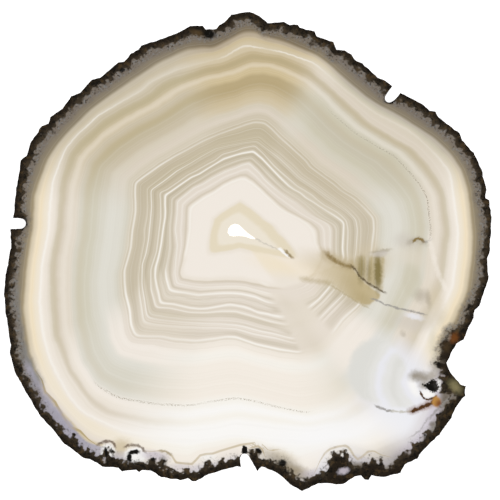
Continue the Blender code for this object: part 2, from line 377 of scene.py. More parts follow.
top = slab["thickness"]
rim = stepsAlong(rimOutline, slab["step"])
rim = np.roll(rim, -int(np.argmin(np.abs(np.angle(rim)))))
calmRim = softened(rim, slab["calm"])
turns = np.angle(calmRim)
gentle = softened(rim, slab["outwardBlur"])
along = np.roll(gentle, -1) - np.roll(gentle, 1)
outward = -1j * along / np.abs(along)
rim = rim - outward * slab["toothDepth"] * lumpy(withHeight(rim, 0), slab["toothSize"], 1)
# 0 in the notches, 1 along the rest of the rim
openRim = np.clip(1 - (np.abs(calmRim) - np.abs(rim)) / slab["notchDepth"], 0, 1)

# The upper face runs outwards: rows along the bands first, then rows from the outermost of those to the rim
levelStops = np.append(bandLevels[::-1][:-1], slab["ringLevel"])
faceLevels = np.concatenate(
    [np.linspace(a, b, n, endpoint=False) for a, b, n in zip(levelStops, levelStops[1:], slab["rowsFromHollow"])])
bandRows = np.stack([rowAt(level, turns) for level in faceLevels])
ring = rowAt(slab["ringLevel"], turns)
outShare = slab["rimLastShare"] * (1 - (1 - np.linspace(0, 1, slab["rimRows"])) ** slab["rimCrowding"])
nearRim = rim - slab["edgeRound"] * outward
rimRows = ring + outShare[:, None] * (rim - ring)
faceRows = np.concatenate([bandRows, rimRows, [nearRim]])
faceRows[len(bandRows):] = eased(faceRows[len(bandRows):], slab["easing"])

# The wall runs down: the skin swells at half height and draws in towards the lower face, less lumps and pits
heights = np.array(slab["wallHeights"])[:, None] * np.ones(len(rim))
wallPoints = withHeight(np.broadcast_to(rim, heights.shape), heights * top)
swell = slab["skinSwell"] * 4 * heights * (1 - heights)
lumps = slab["lumpDepth"] * lumpy(wallPoints, slab["lumpSize"], 2)
pits = slab["pitDepth"] * np.clip(lumpy(wallPoints, slab["pitSize"], 3) - slab["pitShare"], 0, 1)
crumbs = slab["crumbDepth"] * lumpy(wallPoints, slab["crumbSize"], 4)
below = np.clip((1 - heights) / slab["lipShare"], 0, 1)
drawIn = below * (lumps + pits + crumbs) + (1 - heights) * slab["skinSlope"] - swell
drawIn = np.maximum(drawIn, 0) * openRim / grid["square"]
wallRows = rim - outward * drawIn

# The underside runs back in
foot = wallRows[-1] - outward * slab["footStep"] * openRim
undersideRows = np.stack([foot + share * (ring - foot) for share in slab["footShares"]]
                         + [rowAt(level, turns) for level in slab["undersideLevels"]])
footPart = slice(slab["undersideEased"])
undersideRows[footPart] = eased(undersideRows[footPart], slab["easing"])
hollowRows = np.stack([rowAt(hollowLevel, turns)] * len(slab["hollowHeights"]))
print("slab:", len(faceRows), "rows over the face,", len(wallRows), "down the wall,", len(undersideRows), "below")

# Long thin lines that don't follow the bands: half width in squares, strength, and corners on the grid
veins = (
    (1.0, 0.8, ((35, 370), (42, 380), (45, 392), (55, 402), (62, 415), (70, 427), (80, 431), (88, 439),
                 (96, 444.5))),
    (0.9, 0.4, ((145, 451), (152, 451.5), (160, 450.5), (167, 452), (172, 456), (176, 462.5), (185, 463.5),
                (192, 464), (196, 460), (200, 455.5), (206, 454), (213, 453.5), (220, 451), (230, 448),
                (240, 445), (250, 443.5), (258, 442), (263, 445), (268, 450), (278, 451))),
    (0.9, 0.35, ((315, 472), (320, 461), (325, 453), (330, 449), (338, 446.5), (346, 445.5), (350, 449),
                 (354, 456), (358, 459.5), (363, 456), (368, 451.5), (374, 451), (381, 455), (390, 457))),
    (0.8, 0.45, ((248, 448.5), (254, 447), (258, 446), (262, 449), (265, 456))),
)
lineReach = 6  # squares out to which each line is kept in the mesh
lineFar = 9.0  # the distance, in half widths, that stands for no line
lineTaper = (4, 0.25)  # a line narrows over one part in 4 of its length at each end, to 0.25 of its width

# Closed patches: corners on the grid
patches = {
    "stain": ((350, 262), (356, 257), (364, 256), (371, 256), (386, 256.5), (385, 264), (384, 276), (382, 291),
              (376, 288), (366, 282), (360, 277), (355, 270)),
    "lobe": ((322, 270), (332, 266), (340, 266), (352, 268), (357, 273), (361, 279), (367, 284), (374, 289),
             (381, 294), (380, 299), (374, 302), (368, 307.3), (361, 304), (355, 301), (350, 297.5), (340, 290.5),
             (333, 285.5), (324, 282.5), (312, 282), (303, 280), (299, 277), (310, 274)),
    "cap": ((371, 256), (376, 252), (389, 249), (387, 254), (386, 257)),
    "eye": ((352, 350), (362, 341), (378, 336), (392, 343), (402, 356), (410, 370), (419, 385), (421, 398),
            (412, 409), (392, 409.5), (376, 405), (362, 401), (352, 390), (346.5, 377), (348, 362)),
    "bead": ((421, 384), (428, 383), (431, 379), (435, 378.5), (438, 384), (439, 389), (435, 392.5), (431, 392),
             (427, 389)),
    "amber": ((433, 397), (437, 395), (441, 399), (442, 404), (438, 408), (434, 407), (431, 403)),
    "rindLeft": ((40, 412), (52, 421), (60, 427), (68, 434), (71, 437), (74, 435), (78, 440), (82, 448),
                 (85, 449), (88, 446), (90, 451), (94, 456), (100, 459), (104, 459), (103, 449), (107, 448),
                 (111, 452), (118, 457), (124, 461), (130, 464), (135, 462), (139, 461), (144, 464), (148, 462),
                 (151, 458), (155, 458), (157, 461), (160, 464), (162, 458), (165, 459), (166, 467), (170, 471),
                 (175, 475), (179, 472), (183, 470), (187, 473), (192, 474), (196, 472), (199, 469), (203, 470),
                 (205, 462), (210, 461), (212, 466), (217, 466), (221, 460), (226, 459), (229, 462), (232, 457),
                 (236, 456), (238, 500), (20, 500), (20, 412)),
    "rindRight": ((248.5, 453), (253, 451), (258, 449.5), (262, 453), (261, 457), (263, 459), (275, 460),
                  (279, 464), (279, 461), (284, 460.5), (286, 464), (284, 468), (286, 471), (290, 474), (295, 476),
                  (306, 479), (312, 480), (315, 478), (320, 480), (323, 478), (323, 474), (325, 468), (328, 463),
                  (330, 458), (331, 454), (335, 451), (341, 454), (346, 450.5), (349, 455), (349, 459), (353, 463),
                  (354, 467), (357, 467), (362, 465), (366, 461), (369, 461), (371, 457), (374, 460), (378, 461),
                  (381, 458), (384, 462), (388, 467), (393, 463), (398, 461), (402, 458), (405, 455), (409, 453),
                  (411, 449), (413, 442), (416, 443), (417, 448), (420, 445), (424, 440), (432, 435), (440, 431),
                  (470, 470), (440, 500), (249, 500)),
    "rindCorner": ((480, 318), (462, 326), (455, 329), (449, 330), (446, 335), (451, 338), (444, 341), (441, 347),
                   (441, 357), (438, 359), (442, 361), (435, 364), (438, 369), (442, 370), (440, 379), (442, 382),
                   (440, 386), (441, 391), (446, 394), (455, 393), (452, 400), (446, 404), (441, 411), (437, 418),
                   (434, 424), (440, 431), (500, 431), (500, 318)),
}
patchReach = 14  # squares in and out to which each patch's depth is kept


def alongLine(places, corners):
    # The signed distance to a line through the corners, left of it positive, and the distance along it: turned
    # so that a side lies along the real axis, a place's imaginary part is its distance to that side
    best = np.full(places.shape, np.inf)
    signed, run = np.zeros(places.shape), np.zeros(places.shape)
    length = 0
    for start, end in zip(corners, corners[1:]):
        side = abs(end - start)
        local = (places - start) * (end - start).conjugate() / side
        distance = np.abs(local - np.clip(local.real, 0, side))
        nearer = distance < best
        best = np.where(nearer, distance, best)
        signed = np.where(nearer, np.sign(local.imag) * distance, signed)
        run = np.where(nearer, length + np.clip(local.real, 0, side), run)
        length += side
    return signed, run, length


def veinMarks(places):
    # For the nearest vein: the signed distance over its half width there, which tapers to both ends, and how
    # surely the place belongs to it, which falls to 0 at lineReach
    across, sure = np.full(places.shape, lineFar), np.zeros(places.shape)
    part, least = lineTaper
    for halfWidth, strength, corners in veins:
        signed, run, length = alongLine(places, [place(*corner) for corner in corners])
        taper = np.clip(part * np.minimum(run, length - run) / length, least, 1) * halfWidth
        here = strength * np.clip(1 - np.abs(signed) / lineReach, 0, 1)
        across = np.where(here > sure, signed / taper, across)
        sure = np.maximum(sure, here)
    return np.clip(across, -lineFar, lineFar), sure


def patchDepth(places, corners):
    # Distance in from a closed patch's edge, negative outside: a place is inside when the ray to its right
    # crosses the edge an odd number of times
    corners = np.array([place(*corner) for corner in corners])
    signed = alongLine(places, list(corners) + [corners[0]])[0]
    crossings = np.zeros(places.shape, int)
    for a, b in zip(corners, np.roll(corners, -1)):
        spans = (a.imag > places.imag) != (b.imag > places.imag)
        crossings += spans & (places.real < a.real + (places.imag - a.imag) * (b - a).real / ((b - a).imag or 1))
    return np.clip(np.where(crossings % 2, 1, -1) * np.abs(signed), -patchReach, patchReach)


# The whole skin as rows that close on themselves: out over the face, down the wall, back in under the slab and
# up the hollow's wall
count = len(rim)
rows = np.concatenate([faceRows, [rim], wallRows, undersideRows, hollowRows])
rowZ = np.concatenate([np.full(len(faceRows), top), [top - slab["edgeDrop"]], np.array(slab["wallHeights"]) * top,
                       np.zeros(len(undersideRows)), np.array(slab["hollowHeights"]) * top])
z = rowZ[:, None] * np.ones(count)
level, shine = levelAt(rows)

# How far in each point lies from the rim's skin, which covers the whole wall
skinned = openRim > slab["skinShare"]
wall = slice(len(faceRows), len(faceRows) + 1 + len(wallRows))
outer = slice(len(bandRows), wall.stop + slab["undersideRind"])
inset = np.full(rows.shape, float(slab["rimReach"]))
inset[outer] = rimDistance(rows[outer], rim, skinned, slab["rimReach"])
inset[wall] = np.where(skinned, 0, inset[wall])
depths = {name: patchDepth(rows, corners) for name, corners in patches.items()}
rind = np.interp(np.degrees(np.angle(rows)), *np.array(slab["rindWidths"], float).T, period=360) - inset
for name in ("rindLeft", "rindRight", "rindCorner"):
    rind = np.maximum(rind, depths[name])
veinAcross, veinSure = veinMarks(rows)

# Relief on the upper face: the rind wears down unevenly, a little below the polish
crumb = lumpy(withHeight(rows, z), slab["crumbSize"], 5) + lumpy(withHeight(rows, z), 3 * slab["crumbSize"], 6)
wear = slab["rindSink"] * np.clip(rind / slab["sinkRun"] - slab["sinkStart"], 0, 1) * crumb
z[:len(faceRows)] -= wear[:len(faceRows)]

# What the finish reads at each point
values = {"level": level, "shine": shine, "rind": rind, "veinAcross": veinAcross, "veinSure": veinSure}
values.update({name: depths[name] for name in ("stain", "lobe", "cap", "eye", "bead", "amber")})

points = np.concatenate([toMetres(rows), z[..., None]], axis=-1).reshape(-1, 3)
number = np.arange(rows.size).reshape(rows.shape)
nextRow, nextStep = np.roll(number, -1, axis=0), np.roll(number, -1, axis=1)
quads = np.stack([number, nextRow, np.roll(nextRow, -1, axis=1), nextStep], axis=-1).reshape(-1, 4)

slabMesh = bpy.data.meshes.new("agate_polished_slice")
slabMesh.from_pydata(points, [], quads)
for name, value in values.items():
    slabMesh.attributes.new(name, "FLOAT", "POINT").data.foreach_set("value", value.ravel().astype(np.float32))
slabMesh.shade_smooth()
slabMesh.set_sharp_from_angle(angle=slab["sharpAngle"])
slabPiece = bpy.data.objects.new("agate_polished_slice", slabMesh)
bpy.context.scene.collection.objects.link(slabPiece)
print("slab:", count, "points round,", len(rows), "rows,", 2 * rows.size, "triangles")

# Every tone of the stone, as red, green and blue from 0 to 255
tones = {
    "milk": (255, 253, 250), "backlightGlow": (253, 253, 255), "chalk": (252, 248, 240), "ivory": (249, 241, 230),
    "pearl": (246, 238, 228), "shell": (240, 231, 218), "cream": (244, 233, 213), "peach": (245, 228, 196),
    "blush": (234, 224, 211), "oat": (230, 220, 204), "linen": (224, 213, 196), "biscuit": (219, 209, 189),
    "straw": (212, 201, 179), "wheat": (206, 194, 169), "tan": (200, 188, 160), "sand": (214, 199, 168),
    "dune": (208, 191, 155), "honey": (197, 179, 140), "ochre": (186, 167, 124), "umber": (160, 145, 116),
    "mist": (228, 225, 214), "fog": (222, 218, 204), "sage": (215, 210, 191), "moss": (209, 203, 181),
    "frost": (238, 238, 244), "slate": (232, 231, 227), "haze": (225, 224, 218), "smoke": (138, 126, 104),
    "dusk": (117, 107, 96), "lilac": (206, 198, 208), "iris": (172, 168, 182), "pewter": (172, 162, 144),
    "slateDark": (128, 127, 125), "barkPale": (66, 56, 42), "husk": (194, 181, 147), "hay": (217, 211, 193),
    "reed": (205, 198, 177), "gold": (211, 192, 150), "loam": (163, 144, 111), "peat": (126, 112, 88),
    "ash": (222, 217, 220), "mauve": (205, 197, 186), "drab": (168, 158, 140), "core": (241, 232, 215),
    "heart": (233, 221, 195), "bright": (253, 249, 241), "shadow": (186, 174, 148), "stain": (130, 115, 62),
    "stainPale": (186, 169, 124), "lobe": (194, 176, 132), "lobeDark": (182, 163, 115), "crack": (136, 112, 58),
    "crackDark": (90, 74, 44), "olive": (170, 152, 100), "umberDark": (80, 50, 20), "grey": (150, 146, 142),
    "soot": (10, 7, 3), "bark": (34, 26, 16), "fleck": (80, 62, 36), "amber": (188, 136, 62),
    "rust": (126, 72, 24), "khaki": (160, 150, 108),
}

# What lies from the centre out in each direction: band level, then tone. All runs share the middle
middleRun = (
    (0, "core"), (15, "core"), (18.5, "heart"), (22.8, "heart"), (24.3, "shell"), (28, "pearl"), (43, "pearl"),
    (47, "shell"), (50, "linen"), (53, "blush"), (57, "blush"))
runs = {
    "crown": middleRun + (
        (61, "linen"), (65, "straw"), (73, "straw"), (79, "wheat"), (90, "tan"), (98, "tan"), (103, "wheat"),
        (109, "straw"), (117, "linen"), (121, "biscuit"), (127, "sand"), (134, "dune"), (140, "honey"),
        (146, "ochre"), (153, "ochre"), (158, "gold"), (166, "gold"), (171, "honey"), (175, "ochre"),
        (179, "honey"), (184, "sand"), (190, "sand"), (195, "dune"), (200, "loam"), (206, "peat"),
        (215, "dusk")),
    "top": middleRun + (
        (61, "linen"), (65, "straw"), (73, "straw"), (79, "wheat"), (90, "tan"), (98, "wheat"), (104, "straw"),
        (110, "biscuit"), (118, "linen"), (126, "biscuit"), (134, "wheat"), (142, "tan"), (150, "husk"),
        (158, "wheat"), (166, "sand"), (174, "husk"), (181, "wheat"), (188, "biscuit"), (194, "wheat"),
        (200, "shadow"), (206, "smoke"), (215, "dusk")),
    "flank": middleRun + (
        (62, "linen"), (68, "biscuit"), (76, "biscuit"), (81, "straw"), (88, "straw"), (95, "straw"),
        (100, "straw"), (106, "biscuit"), (112, "fog"), (119, "mist"), (127, "mist"), (135, "fog"),
        (143, "sage"), (150, "sage"), (156, "fog"), (161, "oat"), (167, "oat"), (173, "linen"), (178, "biscuit"),
        (182, "shell"), (187, "ivory"), (191, "cream"), (197, "peach"), (201, "sand"), (205, "umber"),
        (209, "smoke"), (216, "dusk")),
    "shoulder": middleRun + (
        (62, "linen"), (68, "biscuit"), (76, "biscuit"), (81, "wheat"), (88, "straw"), (95, "wheat"),
        (104, "wheat"), (110, "biscuit"), (118, "linen"), (126, "hay"), (134, "moss"), (142, "reed"),
        (150, "reed"), (158, "moss"), (166, "hay"), (174, "wheat"), (181, "linen"), (188, "biscuit"),
        (194, "reed"), (200, "pewter"), (206, "smoke"), (215, "dusk")),
    "foot": middleRun + (
        (61, "blush"), (67, "oat"), (73, "oat"), (79, "linen"), (83, "biscuit"), (88, "linen"), (95, "oat"),
        (101, "oat"), (107, "blush"), (114, "pearl"), (123, "pearl"), (131, "mist"), (140, "fog"), (149, "fog"),
        (156, "mist"), (163, "pearl"), (169, "shell"), (175, "blush"), (181, "shell"), (187, "pearl"),
        (192, "cream"), (197, "cream"), (202, "blush"), (205, "sand"), (208, "iris"), (215, "iris"),
        (222, "dusk")),
    # Pale bands at the bottom, lightened further with painted backlight glow: light shining through from behind, laid
    # into the tones
    "paleWithBacklight": middleRun + (
        (61, "shell"), (67, "blush"), (73, "blush"), (79, "oat"), (84, "blush"), (92, "blush"), (100, "blush"),
        (105, "shell"), (111, "ivory"), (119, "chalk"), (128, "ivory"), (136, "ivory"), (145, "ivory"),
        (153, "ivory"), (161, "chalk"), (168, "milk"), (174, "chalk"), (181, "milk"), (188, "milk"),
        (194, "chalk"), (202, "ivory"), (210, "pearl"), (219, "ash"), (227, "dusk")),
    # Bluish white at the lower right: pale bands with painted backlight glow laid into the tones
    "frostWithBacklight": (
        (0, "core"), (15, "core"), (18.5, "heart"), (23, "heart"), (26, "cream"), (34, "cream"), (44, "shell"),
        (52, "blush"), (60, "blush"), (70, "oat"), (80, "oat"), (92, "blush"), (100, "blush"), (106, "shell"),
        (114, "pearl"), (124, "pearl"), (134, "pearl"), (144, "slate"), (152, "slate"), (160, "slate"),
        (168, "frost"), (176, "frost"), (184, "frost"), (192, "frost"), (199, "frost"), (206, "ash"),
        (213, "lilac"), (222, "dusk")),
}
runLength = 240  # the band level at a run's end
# The rings round the bead: their middle on the grid, then distance from it and tone
eyeMiddle = (425, 383)
eyeRings = ((12, "milk"), (20, "frost"), (26, "slate"), (33, "haze"), (39, "slate"), (46, "frost"), (53, "slate"),
            (60, "haze"), (80, "haze"))
# Where each run holds: the middle of its sector, half its width and half its blend, in degrees
sectors = {
    "top": (126, 32, 16),
    "crown": (84, 18, 10),
    "shoulder": (38, 21, 10),
    "foot": (231, 14, 9),
    # The last two sectors hold the runs with painted backlight glow
    "paleWithBacklight": (274, 27, 14),
    "frostWithBacklight": (316, 8, 5),
}

# How bright each fine line is between the heart and the calm bands: level, then brightness, 0.5 being neutral
fineLines = {
    "round": (
        (44, 0.5), (46, 0.85), (47.6, 0.6), (49.6, 0.3), (52, 0.4), (54.8, 0.65), (57.6, 0.35), (60, 0.78),
        (62, 0.45), (64.2, 0.15), (66.5, 0.72), (68, 0.3), (70.2, 0.08), (71.3, 0.5), (72.5, 1), (73.7, 0.6),
        (75, 0.12), (77, 0.75), (78.8, 0.32), (80.5, 0.4), (83.5, 0.12), (86, 0.35), (87.4, 0.92), (88.5, 0.5),
        (89.8, 0.15), (91.8, 0.7), (93.6, 0.28), (98.6, 0.25), (101.4, 0.35), (103.5, 0.85), (105.3, 0.5)),
    "foot": (
        (44, 0.5), (47.5, 0.5), (50.4, 0.25), (54.8, 0.4), (59.8, 0.75), (61.5, 0.5), (63.6, 0.15), (66.7, 0.95),
        (68.2, 0.15), (69.7, 0.7), (71.1, 0.15), (72.5, 1), (74.5, 0.15), (76.8, 0.8), (79, 0.2), (82, 0.3),
        (83.8, 0.65), (86, 0.18), (87.6, 0.95), (89.5, 0.35), (92, 0.8), (94, 0.4), (97, 0.25), (99, 0.2),
        (101.3, 0.35), (103.5, 1), (105.3, 0.5)),
}
# Bands laid over the runs where the stone is warm: level, half width, strength and tone
warmBands = ((175, 5, 0.4, "husk"), (166, 5, 0.3, "ivory"), (152, 8, 0.2, "honey"))
# More sectors, as above: where the fine lines are the second set, and where there are no warm bands, hardly any
# faint growth lines and hardly a dim margin
sides = {
    "footLines": (252, 42, 6),
    "cool": (292, 50, 22),
    "plain": (307, 8, 6),
    "pale": (275, 52, 8),
}

# Short cracks and strokes in this order: tone, half width, softness as a share of it, strength, and corners
strokes = (
    ("slateDark", 6, 0.6, 0.85, ((12, 285), (13, 300), (15.5, 320), (18.5, 340), (24, 357), (31, 372), (38, 384))),
    ("iris", 4.5, 0.6, 0.8, ((26, 366), (33, 380), (42, 394), (52, 407), (62, 420), (71, 430))),
    ("ochre", 5.0, 0.9, 0.65, ((325, 253.5), (331, 258), (338, 262), (346, 265), (354, 266))),
    ("crack", 2.0, 0.9, 0.85, ((327, 254), (332, 258.5), (338, 262.5), (345, 265.5), (352, 267))),
    ("crackDark", 1.0, 0.8, 0.9, ((352, 266.5), (357, 271.5), (361, 277.5), (366, 281.8), (372, 285.5),
                                  (378, 289), (384, 292.3))),
    ("olive", 2.2, 0.9, 0.4, ((302, 278.5), (308, 280), (314, 281), (321, 281.8), (329, 283))),
    ("olive", 0.9, 0.8, 0.45, ((331, 285.5), (341, 291.5), (351, 298), (360, 303.5), (368, 307.5))),
    ("grey", 1.0, 0.7, 0.8, ((373, 299), (379, 301), (384, 304), (392, 306.5), (400, 309), (408, 310),
                             (416, 312), (424, 314.5))),
    ("grey", 0.8, 0.8, 0.35, ((255, 238.5), (262, 242), (269, 245.5), (276, 248.5), (281, 250))),
    # The next two: a painted highlight where the crack opens, light seen through it, then painted shade in the
    # opening's dark end
    ("milk", 1.5, 0.5, 1, ((279, 248.8), (283, 251.5), (288, 256))),
    ("crack", 1.4, 0.7, 0.8, ((285, 250.8), (288, 253.3), (292, 257.3))),
    ("drab", 2.8, 0.9, 0.5, ((409, 243), (414, 240), (420, 240), (425, 243))),
    ("crack", 1.3, 0.7, 1, ((413.5, 241.5), (415.5, 239), (418, 238.2), (421, 239.2), (423.5, 241.5))),
    ("grey", 0.9, 0.8, 0.5, ((424, 241.5), (428, 241.5), (431, 239.5))),
    ("ivory", 2.2, 0.9, 0.6, ((430, 238), (432.5, 252), (436, 266), (440, 278), (447, 290))),
    ("grey", 1.3, 0.6, 0.85, ((376, 406), (381, 408), (386, 410), (391, 411))),
    ("khaki", 1.1, 0.8, 0.5, ((392, 411), (399, 412), (406, 412), (413, 410.5))),
    ("rust", 3.3, 0.8, 0.7, ((411, 411), (418, 408.7), (425, 406), (431, 403.5), (436, 400.5))),
    ("umberDark", 1.9, 0.4, 1, ((412, 410.8), (418, 408.8), (425, 406), (431, 403.5), (436, 400.5))),
    ("umberDark", 1.1, 0.5, 1, ((420.5, 392), (422.5, 396.5), (425, 399), (429, 399.7), (433, 398.2), (436, 396))),
    ("grey", 1.2, 0.7, 0.7, ((452, 396), (445, 402), (438, 409), (433, 414), (430, 418))),
    ("grey", 0.9, 0.8, 0.5, ((428, 418), (424, 424), (421, 430), (412, 436))),
    ("umberDark", 1.4, 0.7, 0.8, ((98.5, 444.5), (103, 441.8), (109, 441), (113, 442.5), (115, 446.5))),
    ("umberDark", 1.2, 0.7, 0.75, ((125, 447), (130, 444.8), (136, 445), (141, 447), (145, 451.5))),
    ("umber", 1.3, 0.8, 0.7, ((160, 451), (166, 451.5), (171, 454.5))),
)

strokeShares = (0.62, 0.5)  # half length of a side's mark, as shares of the side and of the half width

# Soft marks under the cracks, and small ones over everything, the rind too, one of them a wide painted backlight glow
# at the lower right: place and half sizes in squares, turn in degrees, softness as a share of the size, strength and
# tone
zones = (
    (298, 268, 40, 9, -12, 0.8, 0.45, "peach"),
    (322, 264, 22, 10, -22, 0.8, 0.5, "sand"),
    (348, 277, 30, 15, -30, 0.6, 0.7, "sand"),
    (371, 262, 20, 16, 0, 0.6, 0.5, "sand"),
    (306, 326, 22, 20, -35, 0.9, 0.4, "shell"),
    # A wide painted backlight glow near the rim at the lower right
    (352, 434, 62, 19, 10, 0.9, 0.6, "backlightGlow"),
    (404, 240, 9, 7, 0, 0.8, 0.45, "mauve"),
    (379, 253, 9, 2.6, 7, 0.7, 0.6, "mauve"),
    (412, 245, 9, 5, 0, 0.8, 0.4, "mauve"),
    (366, 269, 11, 10, 0, 0.7, 0.35, "khaki"),
    (413, 257, 19, 9, -15, 0.8, 0.5, "oat"),
    (412, 282, 9, 17, 8, 0.4, 0.6, "moss"),
    (421, 296, 6, 6, 20, 0.8, 0.5, "drab"),
    (428.5, 299, 2.6, 8, 8, 0.8, 0.6, "drab"),
    (436, 300, 7, 15, 10, 0.8, 0.5, "sand"),
    (410, 322, 17, 8, -8, 0.8, 0.5, "mauve"),
    (415, 316.5, 9, 2.8, -14, 0.6, 0.8, "frost"),
    (434, 318, 12, 8, 0, 0.8, 0.4, "wheat"),
    (403, 334, 2.4, 3, 20, 0.8, 0.4, "drab"),
    (434, 350, 4, 20, 5, 0.8, 0.5, "sage"),
    (415.5, 375.5, 6, 4.5, 20, 0.9, 0.8, "smoke"),
    (424, 378, 7, 5, 0, 0.9, 0.8, "smoke"),
    (432, 375, 4, 3, 0, 0.8, 0.5, "drab"),
    (424, 386, 4.5, 3, 0, 0.9, 0.7, "smoke"),
    (428, 394, 7, 4, -8, 0.6, 1, "milk"),
    (439, 385, 1.8, 7, 0, 0.5, 0.9, "milk"),
    (438, 415, 5, 7, -35, 0.8, 0.6, "lilac"),
    (121, 446, 9, 6.5, 0, 0.8, 0.9, "sand"),
    (108, 451, 7, 7, 0, 0.3, 0.95, "milk"),
    (136, 455, 11, 7.5, -8, 0.3, 0.95, "milk"),
    (155, 456, 13, 4.5, -8, 0.6, 0.8, "lilac"),
    (182, 468, 14, 4, 0, 0.8, 0.5, "lilac"),
    (163, 462.5, 3.6, 5.5, 8, 0.6, 0.9, "grey"),
    (208, 457, 8, 4, 0, 0.8, 0.7, "milk"),
    (282, 455, 14, 5, -18, 0.8, 0.5, "sand"),
    (284, 466, 22, 8, -28, 0.8, 0.75, "smoke"),
    (296, 472, 14, 6, -20, 0.8, 0.7, "umber"),
    (312, 474, 10, 4, 0, 0.8, 0.5, "lilac"),
    (322, 466, 4, 12, -12, 0.8, 0.5, "frost"),
)
# Darker parts of the stained lobe, as above, and the grid's x from which and by which its colour comes in
lobeShades = (
    (347, 281, 12, 6, -35, 0.9, 0.7, "lobeDark"),
    (363, 299, 12, 5, -32, 0.8, 0.8, "lobeDark"),
)
lobeFade = (322, 364)
# Small marks over everything, as above; the dark ones at the ends of the three notches are painted shade
grains = (
    (106, 452, 1.9, 4.8, 10, 0.3, 1, "soot"),
    (111.5, 450, 1.5, 2.8, 0, 0.4, 0.9, "soot"),
    (134, 452.3, 6, 2.3, 8, 0.3, 1, "soot"),
    (129.3, 457.5, 2.6, 4.6, 12, 0.3, 1, "soot"),
    (153.5, 459.3, 2.8, 2, 0, 0.3, 1, "soot"),
    # Painted shade at the inner end of the lower notch
    (244.4, 450.2, 3, 4.6, 0, 0.15, 1, "soot"),
    (258.5, 451, 2.4, 2.6, 0, 0.4, 1, "soot"),
    # Painted shade at the inner end of the left notch
    (25.4, 222.5, 2.2, 5, 0, 0.4, 0.8, "soot"),
    (209, 34, 6.5, 4.5, 0, 0.4, 1, "soot"),
    (197, 33.5, 6, 3, -20, 0.6, 0.6, "fleck"),
    (122.5, 70, 2.4, 2, 0, 0.5, 1, "soot"),
    (432, 424, 2.6, 2.3, 0, 0.7, 0.7, "dusk"),
    (424.5, 435, 1.2, 1.3, 0, 0.5, 0.9, "soot"),
    (282.5, 463, 4, 3.5, 0, 0.4, 1, "soot"),
    (343.5, 471, 5.5, 3, 20, 0.6, 0.8, "lilac"),
    (445.5, 352, 4, 12, 8, 0.5, 0.85, "bark"),
    (443.5, 362, 3.5, 5, 0, 0.5, 0.8, "bark"),
    (455, 386.5, 7, 4.2, -45, 0.9, 0.6, "khaki"),
    (454, 338, 4, 5, -30, 0.7, 0.65, "rust"),
    (446.5, 347, 4, 5, 0, 0.8, 0.5, "fleck"),
    (438.5, 365, 2.6, 2.4, 0, 0.5, 0.9, "soot"),
    (438, 358, 1.6, 1.6, 0, 0.5, 0.8, "dusk"),
    (436, 349, 1.5, 2, 0, 0.6, 0.5, "dusk"),
    # Painted shade at the inner end of the upper right notch
    (388.5, 102.3, 4.5, 1.4, -10, 0.5, 0.9, "bark"),
)

# The finish: its gloss, and how strongly each marking shows
polish = {
    "roughness": 0.2,
    "skinRoughness": 0.65,  # what the rough skin adds to that
    "ior": 1.54,  # chalcedony's
    "gloss": 0.12,
    "coatRoughness": 0.12,
    "bumpStrength": 0.3,
    "bumpDepth": 0.0004,
    "rippleReach": 4,  # squares by which the edges of placed marks wander
    "growthPale": 0.3,
    "growthDark": 0.16,
    "broadDark": 0.14,
    "finePale": 1.1,
    "fineDark": 0.75,
    "brightEdge": 0.75,
    "dots": 1.5,
    "eye": 0.9,
    "stain": 0.78,
    "stripes": 0.95,
    "cap": 0.65,
    "vein": 1.7,
    "margin": 0.8,
    "specks": 0.75,
}


def linear(red, green, blue):
    # A tone as the shader wants it: each channel from its screen value to light
    shares = [channel / 255 for channel in (red, green, blue)]
    return tuple(c / 12.92 if c <= 0.04045 else ((c + 0.055) / 1.055) ** 2.4 for c in shares) + (1,)


def tone(name):
    # The same for a named tone
    return linear(*tones[name])


class Value:
    # One socket of a finish, which takes part in sums; each operator adds a Math node
    def __init__(self, finish, socket):
        self.finish, self.socket = finish, socket

    def __add__(self, other):
        return self.finish.math("ADD", self, other)

    def __sub__(self, other):
        return self.finish.math("SUBTRACT", self, other)

    def __rsub__(self, other):
        return self.finish.math("SUBTRACT", other, self)

    def __mul__(self, other):
        return self.finish.math("MULTIPLY", self, other)

    def __truediv__(self, other):
        return self.finish.math("DIVIDE", self, other)

    def __abs__(self):
        return self.finish.math("ABSOLUTE", self)

    __radd__ = __add__
    __rmul__ = __mul__


